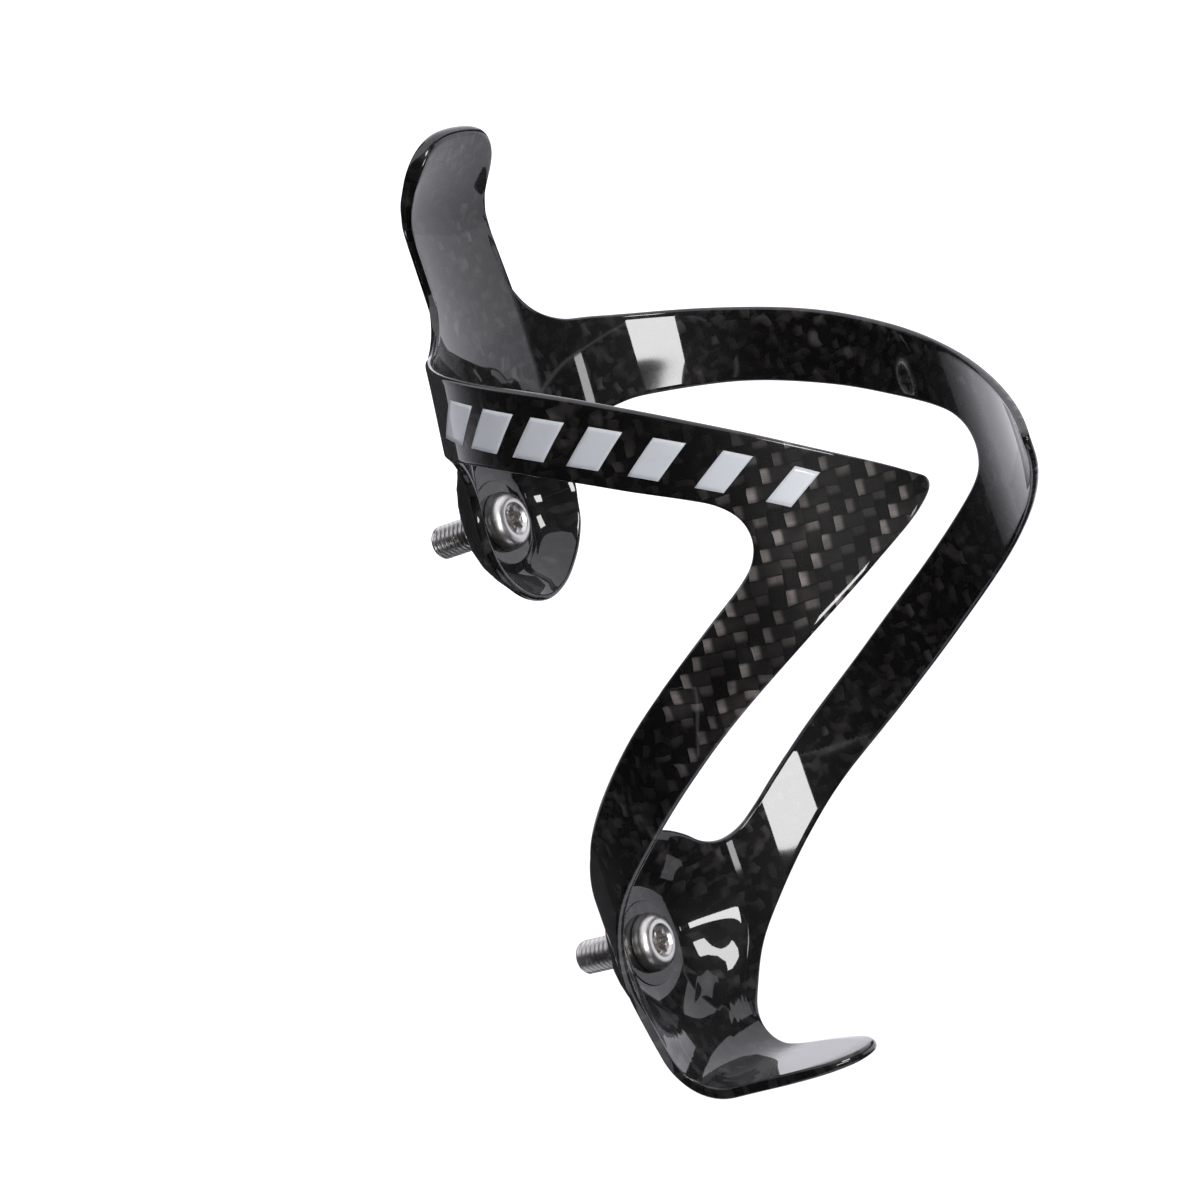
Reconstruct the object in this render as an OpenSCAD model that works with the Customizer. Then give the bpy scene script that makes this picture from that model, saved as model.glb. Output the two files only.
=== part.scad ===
// One-piece laminated water bottle cage, held by two M5 button head bolts.
// The origin is midway between the two bolts, on the frame's bosses. +Z runs up the bottle,
// +Y goes into the frame tube, and -Y is the open front that the bottle goes in at.

/* [Fit] */
// Inner radius of the two arms round the bottle
bottle_r = 35.6; // [35:0.1:36.6]
// Distance from the bosses to the middle of the bottle
bottle_y = 44.8; // [44.4:0.1:45.4]
// How far the tips of the arms spring inwards to hold the bottle
grip = 0.8; // [0:0.1:1.5]
// Distance between the two frame bolts
bolt_gap = 64; // [63:0.5:65]

/* [Laminate] */
// Thickness of the arms
wall = 1.2; // [1:0.1:1.8]
// Thickness of the cups that hold the bolts
cup_wall = 1.35; // [1.2:0.05:1.45]
// Extra thickness at the tip of the upper tab
tab_extra = 1; // [0:0.1:1.4]
// Extra thickness of the foot under the bottle
foot_extra = 0.3; // [0:0.1:1]
// How far the back stands behind the bottle, to reach the frame
back_gap = 3.5; // [3.1:0.1:3.9]
// How far the upper tab stands behind the bottle
tab_gap = 0.6; // [0:0.1:1.2]

/* [Tab and foot] */
// Height at which the upper tab starts to lean forwards
tab_at = 72.7; // [71:0.1:74]
// Radius of the upper tab's bend
tab_bend_r = 9; // [8:0.5:12]
// Lean of the upper tab's tip, in degrees
tab_lean = 43; // [30:1:50]
// Height of the foot's upper face
foot_z = -52.8; // [-54:0.1:-52]
// Radius of the bend between the back and the foot
foot_bend_r = 7; // [6:0.5:8]
// Turn of the foot from the back, in degrees
foot_turn = 90; // [88:1:95]

/* [Bolts] */
// Diameter of the bolt holes through the pads
hole_d = 5.4; // [5.2:0.1:5.8]
// Diameter of the flat pads that meet the bosses
pad_d = 12.4; // [11.5:0.1:13]
// Thickness of the pads
pad_t = 1.7; // [1.6:0.05:1.8]
// Diameter of the bolt shanks
bolt_d = 5; // [4.9:0.05:5]
// Length of the bolt shanks under the head
bolt_length = 12; // [10:1:16]
// Diameter of the bolt heads
head_d = 8.6; // [8.4:0.1:9.6]
// Height of the bolt heads
head_h = 2.4; // [2.2:0.1:2.6]

/* [Decals] */
// Height of the slanted bars on each arm
bar_h = 6; // [4:0.2:7]
// Number of slanted bars on each arm
bar_count = 7; // [3:1:7]
// Width of the widest bar
bar_w = 5.4; // [3:0.2:6]

/* [Hidden] */

hole_fn = 96;
steps_along = 2;      // rings of the mesh between two stations of the rims
steps_across = 12;    // points across each face of the sheet
crowding = 1.3;       // crowds the points across towards the cups
edge_arc = [-50, 0, 50];
slope_step = 0.02;    // distance used to find the sheet's normal
back_half = 21;       // across, to where the back starts to come in to the arms
back_ease = 39;       // and how far along the arms it takes
back_twist = 0.6;     // how much sooner the lower strips come in
twist_up = [-14, 6];  // heights between which the strips twist
gap_from = 30;        // height at which the back starts to come in to the tab
gap_over = 34;
grip_from = 60;       // across, to where the tips start to spring in
grip_over = 30;
tab_thick_from = 72;  // height at which the tab starts to thicken
tab_thick_over = 12;
foot_thick_from = 46; // below the middle, where the foot starts to thicken
foot_thick_over = 10;
cup_flat_r = 6.7;     // flat floor of each cup
cup_inner = 1.55;     // from the bosses to the cups' inner floor
upper_cup_r = 12.8;
upper_cup_stretch = 1.35;
lower_cup_r = 15.5;
socket_depth = 1.8;
socket_rim_d = 4.9;
socket_r = 1.7;       // star socket, between its lobes
lobe_at = 1.75;
lobe_r = 0.5;
head_rim_h = 0.5;     // straight rim of the head, under its dome
head_flat_r = 2.7;    // flat top of the head
past = 1;             // how far a cut runs past what it cuts, or a neck into its shank
bolt_chamfer = 0.5;
neck_d = 4.6;         // plain neck under the head, through the pad
neck_h = pad_t + 0.3;
bar_from = 32;        // across, to the first bar
bar_pitch = 7.6;
bar_steps = 3;        // flats along each bar
bar_shrink = 0.45;    // each bar is narrower than the one before
bar_slant = 0.8;
bar_mid = [36, 46.2]; // a point on the decals' middle line, which falls and curves outwards from it
bar_fall = 0.34;
bar_curve = 0.0035;
film_gap = 0.02;      // from the laminate to the decal
film_t = 0.1;

// The flat pattern of the sheet is measured across, along the arm, and up, from the bolts' middle.
// Both rims run down the right half, and each point of one faces the same point of the other.
// Outer rim: tab, upper edge of the arm, tip, lower edge of the arm, cradle and foot
outer_rim = [
    [0, 88.6], [4.6, 88], [7.5, 86], [8.8, 82.4], [8.6, 77], [8.2, 70.3], [9, 64.6], [11.6, 60.1],
    [16, 57.2], [22, 55.8], [36, 52.1], [50, 47.1], [62, 41.3], [74, 34.4], [84, 28.3],
    [93.6, 22.6], [96.7, 20.1], [93.8, 17.1],
    [85.6, 12.6], [75, 6.8], [64, 0.3], [54, -6.3], [43, -13.8], [33.5, -20.4], [26.6, -26.6],
    [20.4, -33.2], [15.5, -39], [12.4, -44.6], [10.3, -49.4], [9, -54.6], [7.9, -60.5],
    [7, -66.5], [5.4, -71.6], [2.9, -74.8], [0, -75.7]
];
// Inner rim: tongue, upper edge of the window, its corner, lower edge of the window and cradle top
inner_rim = [
    [0, 19.8], [4.4, 21.2], [8, 24.4], [10.2, 28.2], [11, 32], [11.4, 35.6], [12.8, 39.2], [15.8, 41.6],
    [20.6, 42.6], [26, 42.5], [38, 40], [50, 35.4], [60, 30.7], [66, 27.8], [69.4, 25.8],
    [71.5, 23.4], [72.1, 20.6], [71.2, 17.9],
    [68.9, 15.6], [64, 12.3], [56, 7], [48, 1.6], [39.6, -4.6], [31, -11], [24.6, -16.3],
    [21, -19.4], [17.8, -21.6], [14.6, -22.3], [11.7, -21.4], [9.4, -19.5], [7.4, -18.2],
    [5.4, -17.3], [3.6, -16.8], [1.8, -16.5], [0, -16.4]
];
last_station = len(outer_rim) - 1;

function ease(t) = let (c = min(1, max(0, t))) c * c * (3 - 2 * c);
function unit(v) = v / norm(v);
function in_degrees(length, r) = length / r * 180 / PI;

// A strip that bends through up to turn degrees of radius r, then runs straight: [sideways, along]
function bent(length, r, turn) =
    let (a = min(turn, in_degrees(length, r)), rest = length - a * PI / 180 * r)
    [r * (1 - cos(a)) + rest * sin(a), r * sin(a) + rest * cos(a)];

// Side view of the sheet at its middle: [distance forwards, height]
foot_at = foot_z + foot_bend_r;
function side(up) =
    up > tab_at ? let (b = bent(up - tab_at, tab_bend_r, tab_lean)) [b[0], tab_at + b[1]]
    : up < foot_at ? let (b = bent(foot_at - up, foot_bend_r, foot_turn)) [b[0], foot_at - b[1]]
    : [0, up];

// The back stands behind the bottle, and the arms and the tab come in to it. The arms' lower strips
// twist as they come in, and their tips spring inwards.
function back(across, up) =
    let (twist = back_twist * min(twist_up[1], max(twist_up[0], up)))
    1 - ease((abs(across) - back_half - twist) / back_ease);
function arm_r(across, up) =
    bottle_r + (tab_gap + (back_gap - tab_gap) * (1 - ease((up - gap_from) / gap_over)))
    * back(across, up) - grip * ease((abs(across) - grip_from) / grip_over);

// Depth of the two cups, from 0 at their rims to 1 on their flat floors
function cup(x, dz, r, stretch) =
    1 - ease((norm([x, dz > 0 ? dz / stretch : dz]) - cup_flat_r) / (r - cup_flat_r));
function cups(x, z) = max(cup(x, z - bolt_gap / 2, upper_cup_r, upper_cup_stretch),
                          cup(x, z + bolt_gap / 2, lower_cup_r, 1));

// Place on the inner face of the sheet, and its thickness there
function sheet(p) =
    let (s = side(p[1]), r = arm_r(p[0], p[1]), a = in_degrees(p[0], bottle_r),
         x = r * sin(a), y = r * cos(a) - bottle_y - s[0], k = cups(x, s[1]))
    [x, y + (-cup_inner - y) * k, s[1]];
function thickness(p) =
    let (q = sheet(p), k = cups(q[0], q[2]))
    wall + (cup_wall - wall) * k + tab_extra * ease((p[1] - tab_thick_from) / tab_thick_over)
    + foot_extra * ease((-foot_thick_from - p[1]) / foot_thick_over);
function outward(p) =
    unit(cross(sheet(p + [0, slope_step]) - sheet(p - [0, slope_step]),
               sheet(p + [slope_step, 0]) - sheet(p - [slope_step, 0])));
function skin(p, off) = sheet(p) + outward(p) * off;

// Smooth curve through the rim's points, mirrored past both ends
function rim_point(rim, i) =
    i < 0 ? [-rim[-i][0], rim[-i][1]]
    : i > last_station ? let (m = 2 * last_station - i) [-rim[m][0], rim[m][1]]
    : rim[i];
function along(rim, s) =
    let (i = min(last_station - 1, floor(s)), t = s - i,
         a = rim_point(rim, i - 1), b = rim_point(rim, i),
         c = rim_point(rim, i + 1), d = rim_point(rim, i + 2))
    b + t * (c - a) / 2 + t * t * (2 * a - 5 * b + 4 * c - d) / 2
    + t * t * t * (3 * (b - c) + d - a) / 2;

// One closed ring of points round the sheet's section, with rounded edges
function ring(s) =
    let (a = along(inner_rim, s), b = along(outer_rim, s), d = unit(b - a),
         ha = thickness(a) / 2, hb = thickness(b) / 2, a1 = a + d * ha, b1 = b - d * hb,
         row = [for (j = [0 : steps_across]) a1 + (b1 - a1) * pow(j / steps_across, crowding)])
    concat(
        [for (p = row) skin(p, 0)],
        [for (e = edge_arc) skin(b1 + d * hb * cos(e), hb * (1 + sin(e)))],
        [for (j = [steps_across : -1 : 0]) skin(row[j], thickness(row[j]))],
        [for (e = edge_arc) skin(a1 - d * ha * cos(e), ha * (1 - sin(e)))]);

function flipped(points) = [for (p = points) [-p[0], p[1], p[2]]];

// Two triangles for each cell of a mesh whose rings have m points; ring k follows ring i
function band(i, k, m) =
    [for (j = [0 : m - 1]) let (l = (j + 1) % m)
        each [[i * m + j, i * m + l, k * m + l], [i * m + j, k * m + l, k * m + j]]];

module laminate() {
    half = last_station * steps_along;
    right = [for (i = [0 : half]) ring(i / steps_along)];
    rings = concat(right, [for (i = [half - 1 : -1 : 1]) flipped(right[i])]);
    count = len(rings);
    polyhedron([for (r = rings) each r],
               [for (i = [0 : count - 1]) each band(i, (i + 1) % count, len(rings[0]))],
               convexity = 10);
}

// Places a child, drawn along +Z, at the upper (1) or lower (-1) bolt and facing the bottle
module at_bolt(end) {
    translate([0, 0, end * bolt_gap / 2]) rotate([90, 0, 0]) children();
}

module cage_body() {
    color("#1b1b1d") difference() {
        union() {
            laminate();
            for (end = [-1, 1]) at_bolt(end) cylinder(d = pad_d, h = pad_t, $fn = hole_fn);
        }
        for (end = [-1, 1]) at_bolt(end) translate([0, 0, -past])
            cylinder(d = hole_d, h = pad_t + 2 * past, $fn = hole_fn);
    }
}

// Star socket with six lobes
module star_socket(depth) {
    linear_extrude(depth) {
        circle(r = socket_r, $fn = 48);
        for (i = [0 : 5]) rotate(i * 60) translate([lobe_at, 0]) circle(r = lobe_r, $fn = 24);
    }
}

// Domed head, seated at 0
module bolt_head() {
    rise = head_h - head_rim_h;
    reach = head_d / 2 - head_flat_r;
    rotate_extrude($fn = hole_fn) polygon(concat(
        [[0, 0], [head_d / 2, 0], [head_d / 2, head_rim_h]],
        [for (a = [15 : 15 : 75]) [head_flat_r + reach * cos(a), head_rim_h + rise * sin(a)]],
        [[head_flat_r, head_h], [0, head_h]]));
}

// Button head bolt along +Z, with its shank below 0
module button_bolt() {
    color("silver") difference() {
        union() {
            bolt_head();
            // the neck runs on inside the shank, so that the two are one piece at every size
            translate([0, 0, -neck_h - past]) cylinder(d = neck_d, h = neck_h + past, $fn = hole_fn);
            translate([0, 0, bolt_chamfer - bolt_length])
                cylinder(d = bolt_d, h = bolt_length - bolt_chamfer - neck_h, $fn = hole_fn);
            translate([0, 0, -bolt_length])
                cylinder(d1 = bolt_d - 2 * bolt_chamfer, d2 = bolt_d, h = bolt_chamfer, $fn = hole_fn);
        }
        translate([0, 0, head_h - socket_depth]) star_socket(socket_depth + past);
        translate([0, 0, head_h - bolt_chamfer])
            cylinder(d1 = socket_rim_d - 2 * bolt_chamfer, d2 = socket_rim_d, h = bolt_chamfer,
                     $fn = hole_fn);
    }
}

module upper_bolt() {
    at_bolt(1) translate([0, 0, pad_t]) button_bolt();
}

module lower_bolt() {
    at_bolt(-1) translate([0, 0, pad_t]) button_bolt();
}

// Middle line of the decals on the flat pattern
function bar_point(across, up) =
    let (a = across + bar_slant * up, d = a - bar_mid[0])
    [a, bar_mid[1] - bar_fall * d - bar_curve * d * d + up];

// One slanted bar of thin film on the outer face of the right arm
module bar(from, width) {
    corners = [[-1, 0], [1, 0], [1, 1], [-1, 1]];
    points = [for (i = [0 : bar_steps], c = corners)
        let (p = bar_point(from + width * i / bar_steps, c[0] * bar_h / 2))
        skin(p, thickness(p) + film_gap + film_t * c[1])];
    last = bar_steps * 4;
    polyhedron(points, concat(
        [[0, 2, 1], [0, 3, 2], [last, last + 1, last + 2], [last, last + 2, last + 3]],
        [for (i = [0 : bar_steps - 1]) each band(i, i + 1, 4)]));
}

module arm_decal() {
    color("#e4e9ee") for (i = [0 : bar_count - 1]) bar(bar_from + i * bar_pitch, bar_w - bar_shrink * i);
}

module left_decal() {
    mirror([1, 0, 0]) arm_decal();
}

module right_decal() {
    arm_decal();
}

cage_body();
upper_bolt();
lower_bolt();
left_decal();
right_decal();
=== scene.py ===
import math
import bpy
import numpy as np
from mathutils import Matrix, Vector


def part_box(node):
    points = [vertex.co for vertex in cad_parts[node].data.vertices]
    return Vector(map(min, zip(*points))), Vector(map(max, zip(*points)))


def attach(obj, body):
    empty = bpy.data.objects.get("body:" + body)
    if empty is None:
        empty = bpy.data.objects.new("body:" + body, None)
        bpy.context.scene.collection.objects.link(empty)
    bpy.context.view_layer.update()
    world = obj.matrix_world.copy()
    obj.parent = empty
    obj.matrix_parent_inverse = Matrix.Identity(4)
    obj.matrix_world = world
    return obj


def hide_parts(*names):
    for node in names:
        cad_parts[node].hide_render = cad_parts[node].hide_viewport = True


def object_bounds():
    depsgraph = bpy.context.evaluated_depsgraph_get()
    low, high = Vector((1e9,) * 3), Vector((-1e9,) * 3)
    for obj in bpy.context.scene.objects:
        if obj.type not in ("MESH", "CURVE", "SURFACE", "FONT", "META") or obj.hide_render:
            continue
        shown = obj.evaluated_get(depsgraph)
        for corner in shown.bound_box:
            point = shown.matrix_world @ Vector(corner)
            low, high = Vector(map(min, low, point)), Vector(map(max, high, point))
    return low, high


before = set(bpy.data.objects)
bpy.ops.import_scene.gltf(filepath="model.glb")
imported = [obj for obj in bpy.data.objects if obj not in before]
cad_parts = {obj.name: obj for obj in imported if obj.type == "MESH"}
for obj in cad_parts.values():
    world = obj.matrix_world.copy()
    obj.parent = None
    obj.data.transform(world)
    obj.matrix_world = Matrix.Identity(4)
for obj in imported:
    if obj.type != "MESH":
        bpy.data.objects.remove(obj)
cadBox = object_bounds()
mm = 0.001

# places taken from the CAD, in millimetres
upperLow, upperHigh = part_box("upper_bolt")
lowerLow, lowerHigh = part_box("lower_bolt")
boltHeights = {"upper": (upperLow.z + upperHigh.z) / 2 / mm, "lower": (lowerLow.z + lowerHigh.z) / 2 / mm}
boltEnd = upperHigh.y / mm       # tip of the shank, past the bosses
boltFront = -upperLow.y / mm     # top of the head
boltHeadRadius = (upperHigh.x - upperLow.x) / 2 / mm


# a number in a node tree, so that a rule can be written as a formula
class Term:
    def __init__(self, tree, socket):
        self.tree, self.socket = tree, socket

    def use(self, operation, *others):
        node = self.tree.nodes.new("ShaderNodeMath")
        node.operation = operation
        for place, value in enumerate((self,) + others):
            if isinstance(value, Term):
                self.tree.links.new(value.socket, node.inputs[place])
            else:
                node.inputs[place].default_value = value
        return Term(self.tree, node.outputs[0])

    def __add__(self, other):
        return self.use("ADD", other)

    def __sub__(self, other):
        return self.use("SUBTRACT", other)

    def __mul__(self, other):
        return self.use("MULTIPLY", other)

    def __truediv__(self, other):
        return self.use("DIVIDE", other)

    def __rsub__(self, other):
        return self.use("MULTIPLY_ADD", -1, other)

    __radd__, __rmul__ = __add__, __mul__

    def atLeast(self, other):
        return self.use("MAXIMUM", other)

    def atMost(self, other):
        return self.use("MINIMUM", other)

    def size(self):
        return self.use("ABSOLUTE")

    def sine(self):
        return self.use("SINE")

    def cosine(self):
        return self.use("COSINE")

    def ease(self):
        part = self.atLeast(0).atMost(1)
        return part * part * (3 - part * 2)


def newNode(tree, kind, **settings):
    node = tree.nodes.new(kind)
    for name, value in settings.items():
        setattr(node, name, value)
    return node


def linkIn(tree, node, **values):
    # fills sockets by name, with underscores for spaces
    for name, value in values.items():
        socket = node.inputs[name.replace("_", " ")]
        if isinstance(value, Term):
            tree.links.new(value.socket, socket)
        elif isinstance(value, bpy.types.NodeSocket):
            tree.links.new(value, socket)
        else:
            socket.default_value = value
    return node


def vectorOf(tree, x, y, z):
    node = linkIn(tree, newNode(tree, "ShaderNodeCombineXYZ"), X=x, Y=y, Z=z)
    return node.outputs[0]


def vectorMath(tree, operation, first, second=None, scale=None):
    node = newNode(tree, "ShaderNodeVectorMath", operation=operation)
    tree.links.new(first, node.inputs[0])
    if second is not None:
        tree.links.new(second, node.inputs[1])
    if scale is not None:
        if isinstance(scale, Term):
            tree.links.new(scale.socket, node.inputs["Scale"])
        else:
            node.inputs["Scale"].default_value = scale
    return node.outputs[0]


def partsOf(tree, vector):
    node = newNode(tree, "ShaderNodeSeparateXYZ")
    tree.links.new(vector, node.inputs[0])
    return [Term(tree, out) for out in node.outputs]


def addSizes(tree, sizes):
    for name, value in sizes.items():
        socket = tree.interface.new_socket(name=name, in_out="INPUT", socket_type="NodeSocketFloat")
        socket.default_value = value


# the laminate is one sheet, drawn flat and then wrapped round the bottle, in millimetres
laminate = {
    "bottleRadius": 35.6, "bottleCentre": 44.8, "grip": 0.8,
    "wall": 1.2, "cupWall": 1.35, "tabExtra": 1.0, "footExtra": 0.3,
    "backGap": 3.5, "tabGap": 0.6,
    "tabAt": 72.7, "tabBend": 9.0, "tabLean": math.radians(43),
    "footAt": -45.8, "footBend": 7.0, "footTurn": math.radians(90),
    "cupInner": 1.55, "cupFlat": 6.7, "upperCup": 12.8, "upperStretch": 1.35, "lowerCup": 15.5,
    "upperBolt": boltHeights["upper"], "lowerBolt": boltHeights["lower"],
    "backHalf": 21.0, "backEase": 39.0,                   # where the back comes in to the arms
    "twist": 0.6, "twistFrom": -14.0, "twistTo": 6.0,     # how the lower strips twist as they come in
    "gapFrom": 30.0, "gapOver": 34.0,                     # where the back comes in to the tab
    "gripFrom": 60.0, "gripOver": 30.0,                   # where the tips spring in
    "tabThickFrom": 72.0, "tabThickOver": 12.0, "footThickFrom": 46.0, "footThickOver": 10.0,
}


def bentStrip(length, radius, turn):
    angle = (length / radius).atMost(turn)
    rest = length - angle * radius
    return (1 - angle.cosine()) * radius + rest * angle.sine(), radius * angle.sine() + rest * angle.cosine()


def cupDepth(x, rise, flat, radius, stretch):
    long = rise.atLeast(0) / stretch + rise.atMost(0)
    away = (x * x + long * long).use("SQRT")
    return 1 - ((away - flat) / (radius - flat)).ease()


# where a point of the flat pattern lies on the inner face, and how far into a cup it is
def makeSheetGroup():
    tree = bpy.data.node_groups.new("sheetPoint", "GeometryNodeTree")
    addSizes(tree, {"across": 0.0, "up": 0.0, **laminate})
    tree.interface.new_socket(name="point", in_out="OUTPUT", socket_type="NodeSocketVector")
    tree.interface.new_socket(name="cup", in_out="OUTPUT", socket_type="NodeSocketFloat")
    source = newNode(tree, "NodeGroupInput")
    s = {out.name: Term(tree, out) for out in source.outputs if out.name}
    across, up = s["across"], s["up"]
    leanOut, leanUp = bentStrip((up - s["tabAt"]).atLeast(0), s["tabBend"], s["tabLean"])
    footOut, footDown = bentStrip((s["footAt"] - up).atLeast(0), s["footBend"], s["footTurn"])
    height = up.atLeast(s["footAt"]).atMost(s["tabAt"]) + leanUp - footDown
    twisted = up.atLeast(s["twistFrom"]).atMost(s["twistTo"]) * s["twist"]
    behind = 1 - ((across.size() - s["backHalf"] - twisted) / s["backEase"]).ease()
    gap = s["tabGap"] + (s["backGap"] - s["tabGap"]) * (1 - ((up - s["gapFrom"]) / s["gapOver"]).ease())
    sprung = s["grip"] * ((across.size() - s["gripFrom"]) / s["gripOver"]).ease()
    radius = s["bottleRadius"] + gap * behind - sprung
    angle = across / s["bottleRadius"]
    x = radius * angle.sine()
    y = radius * angle.cosine() - s["bottleCentre"] - leanOut - footOut
    cup = cupDepth(x, height - s["upperBolt"], s["cupFlat"], s["upperCup"], s["upperStretch"])
    cup = cup.atLeast(cupDepth(x, height - s["lowerBolt"], s["cupFlat"], s["lowerCup"], 1))
    y = y - (s["cupInner"] + y) * cup
    target = newNode(tree, "NodeGroupOutput")
    tree.links.new(vectorOf(tree, x, y, height), target.inputs["point"])
    tree.links.new(cup.socket, target.inputs["cup"])
    return tree


sheetGroup = makeSheetGroup()


# wraps a flat pattern of (across, up, layer): layers 0 to 1 lie in the laminate, the rest on top of it
def wrapNodes(tree, geometry, sizes, pattern):
    across, up, layer = partsOf(tree, pattern)
    step = 0.1

    def sheetPoint(a, u):
        node = newNode(tree, "GeometryNodeGroup", node_tree=sheetGroup)
        for name in laminate:
            tree.links.new(sizes[name].socket, node.inputs[name])
        for name, value in (("across", a), ("up", u)):
            tree.links.new(value.socket, node.inputs[name])
        return node

    here = sheetPoint(across, up)
    upWay = vectorMath(tree, "SUBTRACT", sheetPoint(across, up + step).outputs[0],
                       sheetPoint(across, up - step).outputs[0])
    acrossWay = vectorMath(tree, "SUBTRACT", sheetPoint(across + step, up).outputs[0],
                           sheetPoint(across - step, up).outputs[0])
    outward = vectorMath(tree, "NORMALIZE", vectorMath(tree, "CROSS_PRODUCT", upWay, acrossWay))
    cup = Term(tree, here.outputs["cup"])
    thickness = (sizes["wall"] + (sizes["cupWall"] - sizes["wall"]) * cup
                 + sizes["tabExtra"] * ((up - sizes["tabThickFrom"]) / sizes["tabThickOver"]).ease()
                 + sizes["footExtra"] * ((-1 * (up + sizes["footThickFrom"])) / sizes["footThickOver"]).ease())
    off = thickness * layer.atMost(1) + (layer - 1).atLeast(0)
    placed = vectorMath(tree, "ADD", here.outputs[0], vectorMath(tree, "SCALE", outward, scale=off))
    keep = newNode(tree, "GeometryNodeStoreNamedAttribute", data_type="FLOAT_VECTOR", domain="POINT")
    linkIn(tree, keep, Geometry=geometry, Name="flatPattern", Value=pattern)
    move = linkIn(tree, newNode(tree, "GeometryNodeSetPosition"), Geometry=keep.outputs[0],
                  Position=vectorMath(tree, "SCALE", placed, scale=mm))
    return move.outputs[0]


def startTree(name, sizes):
    tree = bpy.data.node_groups.new(name, "GeometryNodeTree")
    tree.interface.new_socket(name="pattern", in_out="INPUT", socket_type="NodeSocketGeometry")
    addSizes(tree, sizes)
    tree.interface.new_socket(name="finish", in_out="INPUT", socket_type="NodeSocketMaterial")
    tree.interface.new_socket(name="piece", in_out="OUTPUT", socket_type="NodeSocketGeometry")
    source = newNode(tree, "NodeGroupInput")
    terms = {out.name: Term(tree, out) for out in source.outputs if out.name}
    return tree, source, terms


def endTree(tree, source, geometry):
    smooth = linkIn(tree, newNode(tree, "GeometryNodeSetShadeSmooth"), Geometry=geometry)
    real = linkIn(tree, newNode(tree, "GeometryNodeRealizeInstances"), Geometry=smooth.outputs[0])
    finish = linkIn(tree, newNode(tree, "GeometryNodeSetMaterial"), Geometry=real.outputs[0],
                    Material=source.outputs["finish"])
    target = newNode(tree, "NodeGroupOutput")
    tree.links.new(finish.outputs[0], target.inputs[0])


# runs a tree on a mesh with these sizes and returns the result as a plain mesh object
def runTree(name, mesh, tree, sizes, material):
    work = bpy.data.objects.new(name + "Work", mesh)
    bpy.context.scene.collection.objects.link(work)
    modifier = work.modifiers.new("rule", "NODES")
    modifier.node_group = tree
    for item in tree.interface.items_tree:
        if item.item_type == "SOCKET" and item.in_out == "INPUT":
            if item.name in sizes:
                modifier[item.identifier] = sizes[item.name]
            elif item.name == "finish":
                modifier[item.identifier] = material
    graph = bpy.context.evaluated_depsgraph_get()
    made = bpy.data.meshes.new_from_object(work.evaluated_get(graph), preserve_all_data_layers=True,
                                           depsgraph=graph)
    bpy.data.objects.remove(work)
    made.name = name
    piece = bpy.data.objects.new(name, made)
    bpy.context.scene.collection.objects.link(piece)
    return piece


def meshFrom(name, points, faces):
    mesh = bpy.data.meshes.new(name)
    mesh.from_pydata([tuple(p) for p in points], [], [tuple(f) for f in faces])
    mesh.update()
    return mesh


# materials
def newMaterial(name):
    material = bpy.data.materials.new(name)
    material.use_nodes = True
    tree = material.node_tree
    shader = tree.nodes["Principled BSDF"]
    return material, tree, shader


def noiseOf(tree, vector, scale, detail=2.0, rough=0.5):
    node = newNode(tree, "ShaderNodeTexNoise")
    linkIn(tree, node, Vector=vector, Scale=scale, Detail=detail, Roughness=rough)
    return node


def mixColour(tree, factor, first, second):
    node = newNode(tree, "ShaderNodeMix", data_type="RGBA")
    for index, value in ((0, factor), (6, first), (7, second)):
        if isinstance(value, Term):
            tree.links.new(value.socket, node.inputs[index])
        elif isinstance(value, bpy.types.NodeSocket):
            tree.links.new(value, node.inputs[index])
        else:
            node.inputs[index].default_value = value
    return node.outputs[2]


weave = {
    "tow": 1.9,                        # width of a tow, mm
    "turn": math.radians(6),           # from the bottle's axis
    "resin": (0.0015, 0.0014, 0.0014, 1),
    "fibre": (0.18, 0.162, 0.15, 1),
    "wildGain": 0.3,                   # how bright the tows are where the cloth is pushed about
    "calmWarp": 0.6, "wildWarp": 2.4, # how far the cloth is pushed about, mm
    "coatRoughness": 0.03,
    "endFrom": 0.3, "endOver": 0.4,    # the bright end of each float, as a part of a tow
    "endHighlight": 0.8, "restGlow": 0.09,  # its painted highlight, and the rest of the float's brightness
    "crossTow": 0.45, "crossCalm": 0.15,    # how much darker the tows across the light are
    "tipFrom": 48, "tipSlope": 1.2, "tipOver": 12, "tipLow": 15,    # the even zone near the tips, mm
    "pushScale": 0.16, "blotchScale": 0.11, "spotScale": 0.5,
    "waveScale": 0.09, "waveStrength": 0.1, "waveDepth": 0.00025,   # long wave in the lacquer
}


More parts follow.
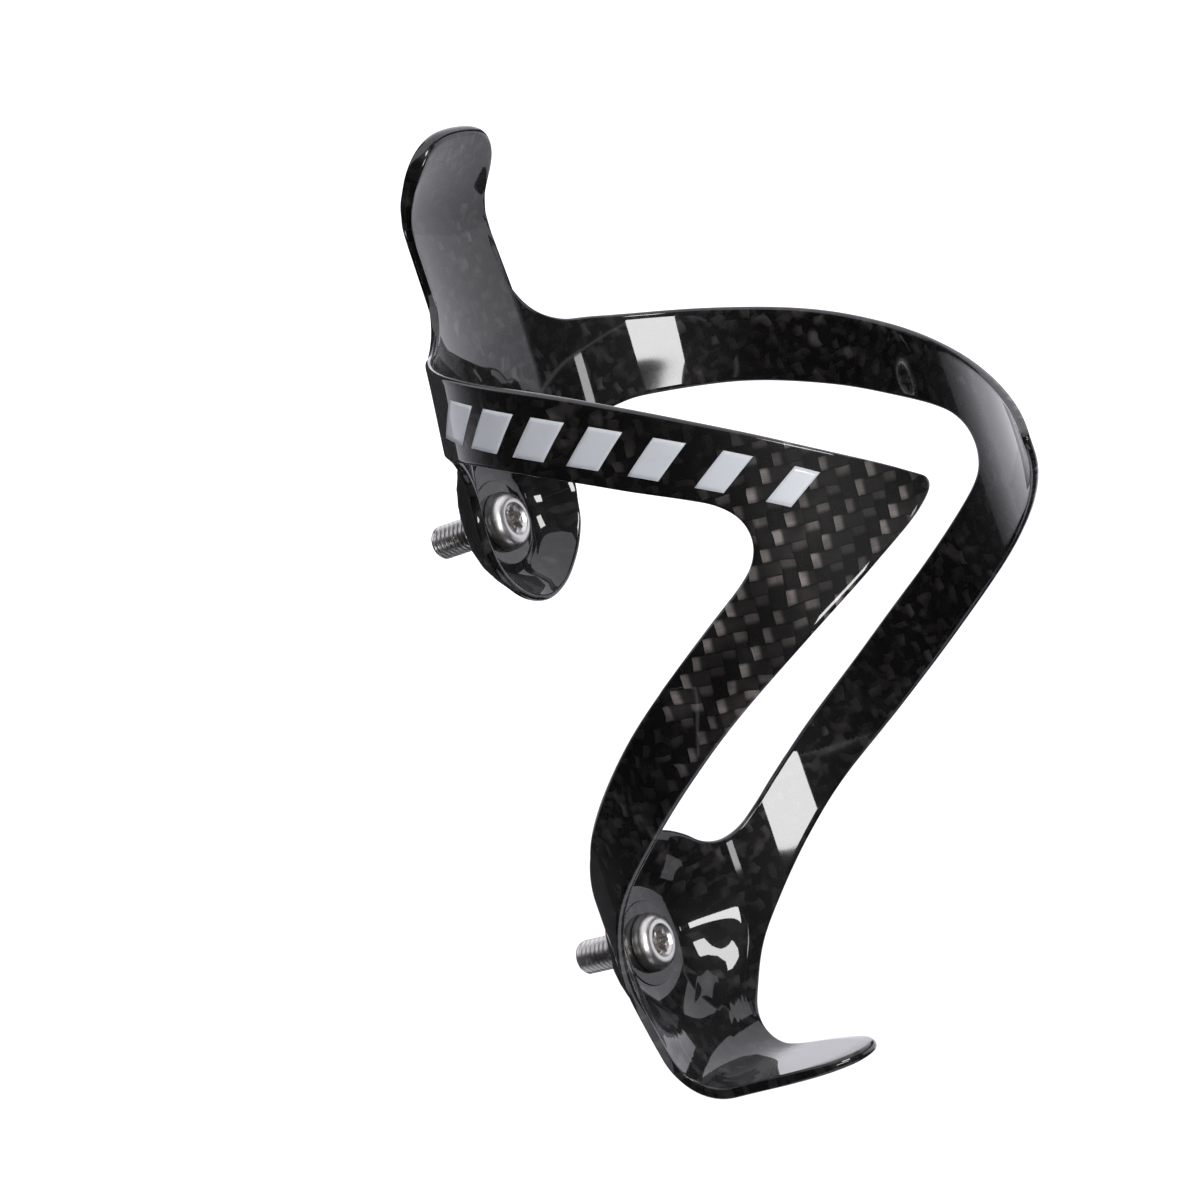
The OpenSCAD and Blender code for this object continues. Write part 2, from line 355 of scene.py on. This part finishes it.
# twill under a clear coat: even near the arms' tips, pushed about and creased elsewhere
def makeCarbon():
    material, tree, shader = newMaterial("coatedCarbon")
    flat = newNode(tree, "ShaderNodeAttribute", attribute_name="flatPattern").outputs["Vector"]
    across, up, layer = partsOf(tree, flat)
    nearTip = across.size() - weave["tipFrom"] - (up - weave["tipLow"]).atLeast(0) * weave["tipSlope"]
    tip = (nearTip / weave["tipOver"]).ease() * (1 - ((across.size() - 92) / 4).ease())
    calm = tip * ((layer - 0.3) / 0.4).ease()
    push = noiseOf(tree, flat, weave["pushScale"], 2.0, 0.55)
    pushed = vectorMath(tree, "SUBTRACT", push.outputs["Color"], vectorOf(tree, 0.5, 0.5, 0.5))
    reach = weave["wildWarp"] + (weave["calmWarp"] - weave["wildWarp"]) * calm
    moved = vectorMath(tree, "ADD", flat, vectorMath(tree, "SCALE", pushed, scale=reach * 2))
    mx, my = partsOf(tree, moved)[:2]
    c, s = math.cos(weave["turn"]), math.sin(weave["turn"])
    warpWay = (mx * c + my * s) / weave["tow"]
    weftWay = (my * c - mx * s) / weave["tow"]
    column, row = warpWay.use("FLOOR"), weftWay.use("FLOOR")
    alongColumn, alongRow = warpWay - column, weftWay - row
    twill = (column + row).use("FLOORED_MODULO", 4)
    warpOnTop = twill.use("LESS_THAN", 1.5)
    # the light catches one end of each float, where the top tow dives under
    warpFloat = (weftWay + column).use("FLOORED_MODULO", 4)
    weftFloat = (warpWay + row).use("FLOORED_MODULO", 4)
    warpDive = (((warpFloat - 1).atLeast(0) - weave["endFrom"]) / weave["endOver"]).ease()
    weftDive = (((weftFloat - 3).atLeast(0) - weave["endFrom"]) / weave["endOver"]).ease()
    dive = warpDive * warpOnTop + weftDive * (1 - warpOnTop)
    # painted sheen: each tow is drawn brightest along its middle and darker towards its sides
    crownSheen = alongColumn * warpOnTop + alongRow * (1 - warpOnTop)
    crownSheen = 1 - ((crownSheen - 0.5) * 2).size().use("POWER", 5)
    cell = newNode(tree, "ShaderNodeTexWhiteNoise", noise_dimensions="3D")
    tree.links.new(vectorOf(tree, column * warpOnTop + 50 * warpOnTop, row * (1 - warpOnTop),
                            (warpWay * 0.25).use("FLOOR") * (1 - warpOnTop)
                            + (weftWay * 0.25).use("FLOOR") * warpOnTop), cell.inputs["Vector"])
    streak = newNode(tree, "ShaderNodeTexNoise")
    along = weftWay * warpOnTop + warpWay * (1 - warpOnTop)
    side = warpWay * warpOnTop + weftWay * (1 - warpOnTop)
    linkIn(tree, streak, Vector=vectorOf(tree, side * 14, along * 0.8, 0.0), Scale=1.0, Detail=3.0)
    fibres = Term(tree, streak.outputs["Fac"])
    blotch = Term(tree, noiseOf(tree, moved, weave["blotchScale"], 3.0, 0.6).outputs["Fac"])
    # painted shade: the tows lying across the light are drawn darker
    crossTowShade = 1 - warpOnTop * (weave["crossTow"] + calm * weave["crossCalm"])
    # painted highlight: the end of each float, where the tow dives under, is drawn bright
    lit = dive * weave["endHighlight"] + weave["restGlow"]
    lit = lit * (0.4 + Term(tree, cell.outputs["Value"]) * 0.9) * crossTowShade
    lit = lit * (0.45 + fibres * 1.1) * (crownSheen * 0.8 + 0.2)
    mottle = ((blotch - 0.44) / 0.22).ease()
    lit = lit * (0.12 + mottle * weave["wildGain"] * (1 - calm) + calm * (0.3 + mottle * 0.9))
    spots = ((Term(tree, noiseOf(tree, flat, weave["spotScale"], 1.5, 0.5).outputs["Fac"]) - 0.5) / 0.16).ease()
    lit = lit * (0.45 + calm * 0.55) + spots * (0.02 + mottle * 0.07) * (1 - calm)
    colour = mixColour(tree, lit, weave["resin"], weave["fibre"])
    tree.links.new(colour, shader.inputs["Base Color"])
    rough = 0.52 - lit * 0.25
    tree.links.new(rough.socket, shader.inputs["Roughness"])
    shader.inputs["Specular IOR Level"].default_value = 0.12
    shader.inputs["Coat Weight"].default_value = 1.0
    shader.inputs["Coat Roughness"].default_value = weave["coatRoughness"]
    shader.inputs["Coat IOR"].default_value = 1.5
    # the lacquer flows: a faint long wave in the coat, and the tows just felt under it
    wave = Term(tree, noiseOf(tree, flat, weave["waveScale"], 1.0, 0.4).outputs["Fac"])
    lacquer = newNode(tree, "ShaderNodeBump")
    linkIn(tree, lacquer, Strength=weave["waveStrength"], Distance=weave["waveDepth"],
           Height=wave + lit * 0.004)
    tree.links.new(lacquer.outputs[0], shader.inputs["Coat Normal"])
    return material


steel = {"colour": (0.6, 0.59, 0.575, 1), "roughness": 0.33, "socketBrown": (0.05, 0.032, 0.02, 1)}


def makeSteel():
    material, tree, shader = newMaterial("turnedSteel")
    local = newNode(tree, "ShaderNodeAttribute", attribute_name="boltPlace").outputs["Vector"]
    away, height, angle = partsOf(tree, local)
    rings = Term(tree, noiseOf(tree, vectorOf(tree, away * 9, height * 9, 0.0), 1.0, 3.0).outputs["Fac"])
    specks = Term(tree, noiseOf(tree, vectorOf(tree, away * angle.cosine(), away * angle.sine(), height),
                                1.4, 4.0, 0.65).outputs["Fac"])
    # inside the socket the steel is drawn a darker speckled brown, less metallic and rougher
    inSocket = 1 - ((away - 1.6) / 0.6).ease()
    socketTint = (inSocket * ((specks - 0.35) / 0.25).ease()).atMost(0.85)
    colour = mixColour(tree, socketTint, steel["colour"], steel["socketBrown"])
    tree.links.new(colour, shader.inputs["Base Color"])
    metal = 1 - socketTint * 0.7
    tree.links.new(metal.socket, shader.inputs["Metallic"])
    rough = steel["roughness"] + (rings - 0.5) * 0.2 + (specks - 0.5) * 0.16 + socketTint * 0.35
    tree.links.new(rough.socket, shader.inputs["Roughness"])
    grooves = newNode(tree, "ShaderNodeBump")
    linkIn(tree, grooves, Strength=0.12, Distance=0.00004, Height=rings)
    tree.links.new(grooves.outputs[0], shader.inputs["Normal"])
    return material


film = {"colour": (0.47, 0.49, 0.505, 1), "worn": (0.34, 0.36, 0.375, 1), "roughness": 0.42}


def makeFilm():
    material, tree, shader = newMaterial("printedFilm")
    flat = newNode(tree, "ShaderNodeAttribute", attribute_name="flatPattern").outputs["Vector"]
    patches = Term(tree, noiseOf(tree, flat, 0.35, 4.0, 0.6).outputs["Fac"])
    grain = Term(tree, noiseOf(tree, flat, 9.0, 2.0, 0.5).outputs["Fac"])
    colour = mixColour(tree, ((patches - 0.45) / 0.5).ease() * 0.35 + grain * 0.1, film["colour"], film["worn"])
    tree.links.new(colour, shader.inputs["Base Color"])
    rough = film["roughness"] + (grain - 0.5) * 0.15
    tree.links.new(rough.socket, shader.inputs["Roughness"])
    shader.inputs["Coat Weight"].default_value = 0.6
    shader.inputs["Coat Roughness"].default_value = 0.05
    return material


coatedCarbon, turnedSteel, printedFilm = makeCarbon(), makeSteel(), makeFilm()
print("finishes made")


# the rims of the flat pattern, right half: tab, arm, tip, arm, cradle and foot
outerRim = [
    (0, 88.6), (4.6, 88), (7.5, 86), (8.8, 82.4), (8.6, 77), (8.2, 70.3), (9, 64.6), (11.6, 60.1),
    (16, 57.2), (22, 55.8), (36, 52.1), (50, 47.1), (62, 41.3), (74, 34.4), (84, 28.3),
    (93.6, 22.6), (96.7, 20.1), (93.8, 17.1),
    (85.6, 12.6), (75, 6.8), (64, 0.3), (54, -6.3), (43, -13.8), (33.5, -20.4), (26.6, -26.6),
    (20.4, -33.2), (15.5, -39), (12.4, -44.6), (10.3, -49.4), (9, -54.6), (7.9, -60.5),
    (7, -66.5), (5.4, -71.6), (2.9, -74.8), (0, -75.7)]
# tongue, window and top of the cradle
innerRim = [
    (0, 19.8), (4.4, 21.2), (8, 24.4), (10.2, 28.2), (11, 32), (11.4, 35.6), (12.8, 39.2), (15.8, 41.6),
    (20.6, 42.6), (26, 42.5), (38, 40), (50, 35.4), (60, 30.7), (66, 27.8), (69.4, 25.8),
    (71.5, 23.4), (72.1, 20.6), (71.2, 17.9),
    (68.9, 15.6), (64, 12.3), (56, 7), (48, 1.6), (39.6, -4.6), (31, -11), (24.6, -16.3),
    (21, -19.4), (17.8, -21.6), (14.6, -22.3), (11.7, -21.4), (9.4, -19.5), (7.4, -18.2),
    (5.4, -17.3), (3.6, -16.8), (1.8, -16.5), (0, -16.4)]
shell = {"ringsPerStation": 12, "pointsAcross": 24, "crowding": 1.3, "edgePoints": 9}


def smoothRim(rim, perStation):
    # both ends are mirrored across the middle, so the curve crosses it squarely
    points = np.array(rim, float)
    full = np.vstack([points[1] * (-1, 1), points, points[-2] * (-1, 1)])
    t = np.arange(perStation)[:, None] / perStation
    runs = []
    for i in range(len(rim) - 1):
        a, b, c, d = full[i:i + 4]
        runs.append(b + t * (c - a) / 2 + t ** 2 * (2 * a - 5 * b + 4 * c - d) / 2
                    + t ** 3 * (3 * (b - c) + d - a) / 2)
    return np.vstack(runs + [points[-1:]])


def easedNumber(t):
    part = np.clip(t, 0, 1)
    return part * part * (3 - 2 * part)


def edgeThickness(points):
    up = points[:, 1]
    tab = easedNumber((up - laminate["tabThickFrom"]) / laminate["tabThickOver"])
    foot = easedNumber((-laminate["footThickFrom"] - up) / laminate["footThickOver"])
    return laminate["wall"] + laminate["tabExtra"] * tab + laminate["footExtra"] * foot


# one closed ring of pattern points for each step along the rims, with rounded edges
def shellPattern():
    inner = smoothRim(innerRim, shell["ringsPerStation"])
    outer = smoothRim(outerRim, shell["ringsPerStation"])
    way = outer - inner
    way /= np.linalg.norm(way, axis=1)[:, None]
    innerHalf, outerHalf = edgeThickness(inner)[:, None] / 2, edgeThickness(outer)[:, None] / 2
    start, end = inner + way * innerHalf, outer - way * outerHalf
    share = (np.arange(shell["pointsAcross"] + 1) / shell["pointsAcross"]) ** shell["crowding"]
    arc = np.radians(np.linspace(-90, 90, shell["edgePoints"] + 2)[1:-1])
    section = [(start + (end - start) * k, 0.0) for k in share]
    section += [(end + way * outerHalf * math.cos(e), (1 + math.sin(e)) / 2) for e in arc]
    section += [(start + (end - start) * k, 1.0) for k in share[::-1]]
    section += [(start - way * innerHalf * math.cos(e), (1 - math.sin(e)) / 2) for e in arc]
    right = np.stack([np.column_stack([p, np.full(len(p), layer)]) for p, layer in section], axis=1)
    left = right[-2:0:-1] * (-1, 1, 1)
    rings = np.concatenate([right, left])
    count, around = rings.shape[:2]
    faces = [(i * around + j, (i + 1) % count * around + j,
              (i + 1) % count * around + (j + 1) % around, i * around + (j + 1) % around)
             for i in range(count) for j in range(around)]
    return meshFrom("shellPattern", rings.reshape(-1, 3), faces)


def makeShell():
    tree, source, sizes = startTree("wrapLaminate", laminate)
    pattern = newNode(tree, "GeometryNodeInputPosition").outputs[0]
    endTree(tree, source, wrapNodes(tree, source.outputs["pattern"], sizes, pattern))
    return runTree("carbonShell", shellPattern(), tree, laminate, coatedCarbon)


carbonShell = makeShell()
print("laminate wrapped:", len(carbonShell.data.polygons), "faces")


# slanted bars in place of lettering, printed on the outer face of each arm
bars = {"count": 7.0, "from": 32.0, "pitch": 7.6, "width": 5.4, "shrink": 0.45, "height": 6.0, "slant": 0.8,
        "middleAcross": 36.0, "middleUp": 46.2, "fall": 0.34, "curve": 0.0035,    # the line they stand on
        "lift": 0.02, "film": 0.06}


def barPattern():
    # a box one wide and one high, with cells small enough to bend
    columns, rows = 8, 8
    points, faces = [], []
    for layer in (0, 1):
        for j in range(rows + 1):
            for i in range(columns + 1):
                points.append((i / columns, j / rows - 0.5, layer))
    wide = columns + 1
    block = wide * (rows + 1)
    for j in range(rows):
        for i in range(columns):
            a = j * wide + i
            faces.append((a, a + wide, a + wide + 1, a + 1))
            faces.append((a + block, a + 1 + block, a + wide + 1 + block, a + wide + block))
    border = ([i for i in range(columns)] + [j * wide + columns for j in range(rows)]
              + [rows * wide + i for i in range(columns, 0, -1)] + [j * wide for j in range(rows, 0, -1)])
    for place, a in enumerate(border):
        b = border[(place + 1) % len(border)]
        faces.append((a, b, b + block, a + block))
    return meshFrom("barPattern", points, faces)


def makeBars(name, side):
    tree, source, sizes = startTree(name + "Rule", {**laminate, **bars, "side": 1.0})
    count = newNode(tree, "FunctionNodeFloatToInt")
    tree.links.new(sizes["count"].socket, count.inputs[0])
    line = newNode(tree, "GeometryNodeMeshLine", mode="OFFSET")
    tree.links.new(count.outputs[0], line.inputs["Count"])
    tree.links.new(vectorOf(tree, sizes["from"], 0.0, 0.0), line.inputs["Start Location"])
    tree.links.new(vectorOf(tree, sizes["pitch"], 0.0, 0.0), line.inputs["Offset"])
    place = Term(tree, newNode(tree, "GeometryNodeInputIndex").outputs[0])
    spread = newNode(tree, "GeometryNodeInstanceOnPoints")
    linkIn(tree, spread, Points=line.outputs[0], Instance=source.outputs["pattern"],
           Scale=vectorOf(tree, sizes["width"] - sizes["shrink"] * place, sizes["height"], 1.0))
    real = linkIn(tree, newNode(tree, "GeometryNodeRealizeInstances"), Geometry=spread.outputs[0])
    across, up, layer = partsOf(tree, newNode(tree, "GeometryNodeInputPosition").outputs[0])
    along = across + sizes["slant"] * up
    past = along - sizes["middleAcross"]
    middle = sizes["middleUp"] - past * sizes["fall"] - past * past * sizes["curve"]
    flat = vectorOf(tree, along * sizes["side"], middle + up, 1 + sizes["lift"] + sizes["film"] * layer)
    geometry = wrapNodes(tree, real.outputs[0], sizes, flat)
    if side > 0:      # the left arm's is a mirror image, which turns its faces round already
        geometry = linkIn(tree, newNode(tree, "GeometryNodeFlipFaces"), Mesh=geometry).outputs[0]
    endTree(tree, source, geometry)
    return runTree(name, barPattern(), tree, {**laminate, **bars, "side": float(side)}, printedFilm)


leftBars, rightBars = makeBars("leftBars", -1), makeBars("rightBars", 1)
print("bars printed")


# bolts: one turned outline, a star socket and a rolled thread
bolt = {"headHeight": 2.4, "rimHeight": 0.5, "flatRadius": 2.7, "shankRadius": 2.5, "segments": 96,
        "pitch": 0.8, "threadDepth": 0.46, "lobes": 0.2, "threadFrom": 2.1, "threadRunIn": 0.5}


def boltOutline():
    top = bolt["headHeight"]
    reach, rise = boltHeadRadius - bolt["flatRadius"], top - bolt["rimHeight"]
    outline = [(0, top - 2.0, 0), (0.8, top - 1.92, 0.3), (1.55, top - 1.8, 1), (1.63, top - 1.7, 1),
               (1.66, top - 1.2, 1), (1.66, top - 0.62, 1), (1.72, top - 0.54, 1), (1.98, top - 0.48, 0),
               (2.06, top - 0.42, 0), (2.36, top - 0.06, 0), (2.44, top - 0.01, 0), (2.55, top, 0)]
    outline += [(bolt["flatRadius"] + reach * math.sin(math.radians(a)),
                 bolt["rimHeight"] + rise * math.cos(math.radians(a)), 0) for a in range(6, 88, 6)]
    outline += [(boltHeadRadius, bolt["rimHeight"], 0), (boltHeadRadius, 0.14, 0),
                (boltHeadRadius - 0.05, 0.04, 0), (boltHeadRadius - 0.16, 0, 0), (3.2, 0, 0),
                (2.62, -0.02, 0), (2.42, -0.1, 0), (2.3, -0.3, 0), (2.3, -1.9, 0), (2.34, -1.98, 0)]
    shank = boltEnd + boltFront - top
    depths = np.arange(bolt["threadFrom"], shank - 0.62, bolt["pitch"] / 12)
    outline += [(bolt["shankRadius"], -d, 0) for d in depths]
    outline += [(2.42, 0.5 - shank, 0), (2.1, 0.1 - shank, 0), (1.95, -shank, 0), (0, -shank, 0)]
    return outline


def turnedPattern(name, outline, segments):
    # a lathe: poles at both ends, rings between them, closed
    points, faces = [(0, 0, outline[0][1])], []
    rings = outline[1:-1]
    lobe = [0.0]
    for radius, height, star in rings:
        for k in range(segments):
            angle = 2 * math.pi * k / segments
            points.append((radius * math.cos(angle), radius * math.sin(angle), height))
            lobe.append(star)
    points.append((0, 0, outline[-1][1]))
    lobe.append(0.0)
    last = len(points) - 1
    for k in range(segments):
        n = (k + 1) % segments
        faces.append((0, 1 + k, 1 + n))
        for r in range(len(rings) - 1):
            a, b = 1 + r * segments, 1 + (r + 1) * segments
            faces.append((a + k, b + k, b + n, a + n))
        end = 1 + (len(rings) - 1) * segments
        faces.append((end + k, last, end + n))
    mesh = meshFrom(name, points, faces)
    mesh.attributes.new("lobe", "FLOAT", "POINT").data.foreach_set("value", lobe)
    return mesh


# sinks the lobes and cuts the thread, then seats the bolt: its own +Z faces the bottle
def makeBolt(name, height, turn):
    given = {"pitch": bolt["pitch"], "depth": bolt["threadDepth"], "lobes": bolt["lobes"], "turn": turn,
             "height": height, "seat": boltFront - bolt["headHeight"]}
    tree, source, sizes = startTree(name + "Rule", given)
    x, y, z = partsOf(tree, newNode(tree, "GeometryNodeInputPosition").outputs[0])
    away = (x * x + y * y).use("SQRT")
    angle = y.use("ARCTAN2", x)
    lobe = newNode(tree, "GeometryNodeInputNamedAttribute", data_type="FLOAT")
    lobe.inputs["Name"].default_value = "lobe"
    star = Term(tree, lobe.outputs[0])
    swing = (angle * 6).cosine()
    starred = away * (1 + star * sizes["lobes"] * swing)
    phase = (z / sizes["pitch"] - angle / (2 * math.pi)).use("FRACT")
    groove = 1 - ((phase - 0.5) * 2.4).size().atMost(1)
    runIn = ((-bolt["threadFrom"] - z) / bolt["threadRunIn"]).ease()
    cut = groove * sizes["depth"] * runIn * ((away - 2.4) / 0.1).ease()
    radius = starred - cut
    spun = angle + sizes["turn"]
    px, py = radius * spun.cosine(), radius * spun.sine()
    placed = vectorOf(tree, px, (-1) * z - sizes["seat"], py + sizes["height"])
    keep = newNode(tree, "GeometryNodeStoreNamedAttribute", data_type="FLOAT_VECTOR", domain="POINT")
    linkIn(tree, keep, Geometry=source.outputs["pattern"], Name="boltPlace",
           Value=vectorOf(tree, away, z, angle))
    move = linkIn(tree, newNode(tree, "GeometryNodeSetPosition"), Geometry=keep.outputs[0],
                  Position=vectorMath(tree, "SCALE", placed, scale=mm))
    endTree(tree, source, move.outputs[0])
    pattern = turnedPattern(name + "Pattern", boltOutline(), bolt["segments"])
    return runTree(name, pattern, tree, given, turnedSteel)


upperBolt = makeBolt("upperBolt", boltHeights["upper"], math.radians(12))
lowerBolt = makeBolt("lowerBolt", boltHeights["lower"], math.radians(-9))
print("bolts turned")


# flat pads of the laminate round each bolt, against the bosses
pad = {"radius": 6.2, "thickness": 1.7, "hole": 2.7, "round": 0.08, "segments": 96}


def makePads():
    r, t, h, e, n = (pad[k] for k in ("radius", "thickness", "hole", "round", "segments"))
    outline = [(h + e, 0), (r - e, 0), (r, e), (r, t - e), (r - e, t), (h + e, t), (h, t - e), (h, e)]
    points, faces = [], []
    for height in boltHeights.values():
        base = len(points)
        for radius, depth in outline:
            for k in range(n):
                angle = 2 * math.pi * k / n
                points.append((radius * math.cos(angle), -depth, radius * math.sin(angle) + height))
        for row in range(len(outline)):
            a, b = base + row * n, base + (row + 1) % len(outline) * n
            for k in range(n):
                m = (k + 1) % n
                faces.append((a + k, a + m, b + m, b + k))
    mesh = meshFrom("bossPads", [(x * mm, y * mm, z * mm) for x, y, z in points], faces)
    flat = mesh.attributes.new("flatPattern", "FLOAT_VECTOR", "POINT")
    flat.data.foreach_set("vector", [v for x, y, z in points for v in (x, z, 0.5)])
    mesh.materials.append(coatedCarbon)
    piece = bpy.data.objects.new("bossPads", mesh)
    bpy.context.scene.collection.objects.link(piece)
    return piece


bossPads = makePads()

for piece, node, slotName in ((carbonShell, "cage_body", "laminate"), (upperBolt, "upper_bolt", "stainless"),
                              (lowerBolt, "lower_bolt", "stainless"), (leftBars, "left_decal", "decal_film"),
                              (rightBars, "right_decal", "decal_film")):
    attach(piece, "root")
    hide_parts(node)
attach(bossPads, "root")
print("pieces placed")


# studio: a pale floor and bright surround, with dark cloths that only reflections and light see
studio = {
    "surround": 1.5, "surroundTint": (0.94, 0.93, 1.0), "floorDrop": 0.09, "floorSize": 3.0,
    "clothTone": 0.012, "clothRadius": 1.1, "clothTop": 0.75,
    "curtainFrom": -195, "curtainTo": 27, "fadeFrom": 40, "fadeTo": 2,    # degrees, fades at its ends
    "valanceTo": 105, "valanceBase": 0.17, "valanceTop": 0.48, "skirtInner": 0.1, "apronRadius": 0.2,
    "flagTone": 0.03, "flagHalf": 0.02, "flagBehind": 0.02, "flagHeight": 0.3,
}


def lookVector(azimuth, elevation):
    a, e = math.radians(azimuth), math.radians(elevation)
    return Vector((math.sin(a) * math.cos(e), -math.cos(a) * math.cos(e), math.sin(e)))


def flatMaterial(name, colour, roughness):
    material, tree, shader = newMaterial(name)
    shader.inputs["Base Color"].default_value = (*colour, 1)
    shader.inputs["Roughness"].default_value = roughness
    return material


def makeStudio():
    world = bpy.data.worlds.new("studioWorld")
    bpy.context.scene.world = world
    world.use_nodes = True
    sky = world.node_tree.nodes["Background"]
    sky.inputs["Color"].default_value = (*studio["surroundTint"], 1)
    sky.inputs["Strength"].default_value = studio["surround"]
    low = cadBox[0].z - studio["floorDrop"]
    half = studio["floorSize"]
    corners = [(-half, -half, low), (half, -half, low), (half, half, low), (-half, half, low)]
    floorMesh = meshFrom("paleFloor", corners, [(0, 1, 2, 3)])
    floorMesh.materials.append(flatMaterial("palePaper", (0.86, 0.86, 0.88), 0.7))
    floor = bpy.data.objects.new("paleFloor", floorMesh)
    bpy.context.scene.collection.objects.link(floor)
    start, end, far = studio["curtainFrom"], studio["curtainTo"], studio["clothRadius"]
    hang("darkCurtain", start, end, (far, low + 0.01), (far, studio["clothTop"]), True)
    hang("darkValance", end, studio["valanceTo"], (far, studio["valanceBase"]),
         (far, studio["valanceTop"]))
    hang("darkSkirt", start, end, (studio["skirtInner"], low + 0.005), (far, low + 0.005))
    hang("darkApron", end, studio["valanceTo"], (0, low + 0.005), (studio["apronRadius"], low + 0.005))
    half, back, tall = studio["flagHalf"], studio["flagBehind"], studio["flagHeight"]
    corners = [(-half, back, -tall), (half, back, -tall), (half, back, tall), (-half, back, tall)]
    flag = meshFrom("darkFlag", corners, [(0, 1, 2, 3)])     # stands where the frame tube would be
    flag.materials.append(flatMaterial("flagCloth", (studio["flagTone"],) * 3, 1.0))
    placeCloth("darkFlag", flag, False)


def placeCloth(name, mesh, shades):
    cloth = bpy.data.objects.new(name, mesh)
    cloth.visible_camera = False
    cloth.visible_diffuse = cloth.visible_shadow = shades
    bpy.context.scene.collection.objects.link(cloth)


# a cloth between two turns, from (radius, height) to (radius, height), fading into the surround at its ends
def hang(name, start, end, base, top, shades=False):
    steps = 60
    turns = [start + (end - start) * k / steps for k in range(steps + 1)]
    points = [lookVector(a, 0) * r + Vector((0, 0, z)) for a in turns for r, z in (base, top)]
    mesh = meshFrom(name, points, [(2 * k, 2 * k + 2, 2 * k + 3, 2 * k + 1) for k in range(steps)])
    fade = mesh.attributes.new("fade", "FLOAT", "POINT")
    bright = [max(1 - (a - studio["curtainFrom"]) / studio["fadeFrom"],
                  1 - (end - a) / studio["fadeTo"], 0) if shades else 0 for a in turns for _ in (0, 1)]
    fade.data.foreach_set("value", bright)
    material, tree, shader = newMaterial(name)
    glow = Term(tree, newNode(tree, "ShaderNodeAttribute", attribute_name="fade").outputs["Fac"])
    shader.inputs["Base Color"].default_value = (*(studio["clothTone"],) * 3, 1)
    shader.inputs["Roughness"].default_value = 1.0
    shader.inputs["Specular IOR Level"].default_value = 0.0
    shader.inputs["Emission Color"].default_value = (*studio["surroundTint"], 1)
    tree.links.new((glow * glow * studio["surround"]).socket, shader.inputs["Emission Strength"])
    mesh.materials.append(material)
    placeCloth(name, mesh, shades)


# azimuth, elevation and distance from the middle, width and height in degrees, and brightness
lamps = {
    "lowBox": (-36, -12, 0.8, 25, 13, 18),
    "stripBox": (3.5, -14, 0.8, 4, 12, 8),
    "highBox": (-27, 16, 0.8, 17, 15, 16),
}


def makeLamps():
    for name, (azimuth, elevation, distance, wide, high, brightness) in lamps.items():
        light = bpy.data.lights.new(name, "AREA")
        light.shape = "RECTANGLE"
        light.size = 2 * distance * math.tan(math.radians(wide / 2))
        light.size_y = 2 * distance * math.tan(math.radians(high / 2))
        light.energy = brightness * math.pi * light.size * light.size_y
        lamp = bpy.data.objects.new(name, light)
        lamp.location = Vector((0, -0.03, 0.02)) + lookVector(azimuth, elevation) * distance
        lamp.visible_camera = False
        lamp.rotation_euler = lookVector(azimuth, elevation).to_track_quat("Z", "Y").to_euler()
        bpy.context.scene.collection.objects.link(lamp)


shot = {"azimuth": -54.91, "elevation": 2.51, "roll": -19.08, "distance": 0.44535,
        "target": (0, -0.01325, 0.01741), "lens": 94.725, "sensor": 36}


def makeCamera():
    back = lookVector(shot["azimuth"], shot["elevation"])
    level = (-back).cross(Vector((0, 0, 1))).normalized()
    rise = level.cross(-back)
    roll = math.radians(shot["roll"])
    right = level * math.cos(roll) + rise * math.sin(roll)
    up = rise * math.cos(roll) - level * math.sin(roll)
    data = bpy.data.cameras.new("shot")
    data.lens, data.sensor_width, data.clip_start = shot["lens"], shot["sensor"], 0.01
    camera = bpy.data.objects.new("shot", data)
    matrix = Matrix((right, up, back)).transposed().to_4x4()
    matrix.translation = Vector(shot["target"]) + back * shot["distance"]
    camera.matrix_world = matrix
    bpy.context.scene.collection.objects.link(camera)
    bpy.context.scene.camera = camera


makeStudio()
makeLamps()
makeCamera()
bpy.context.scene.view_settings.view_transform = "Standard"
print("studio lit")
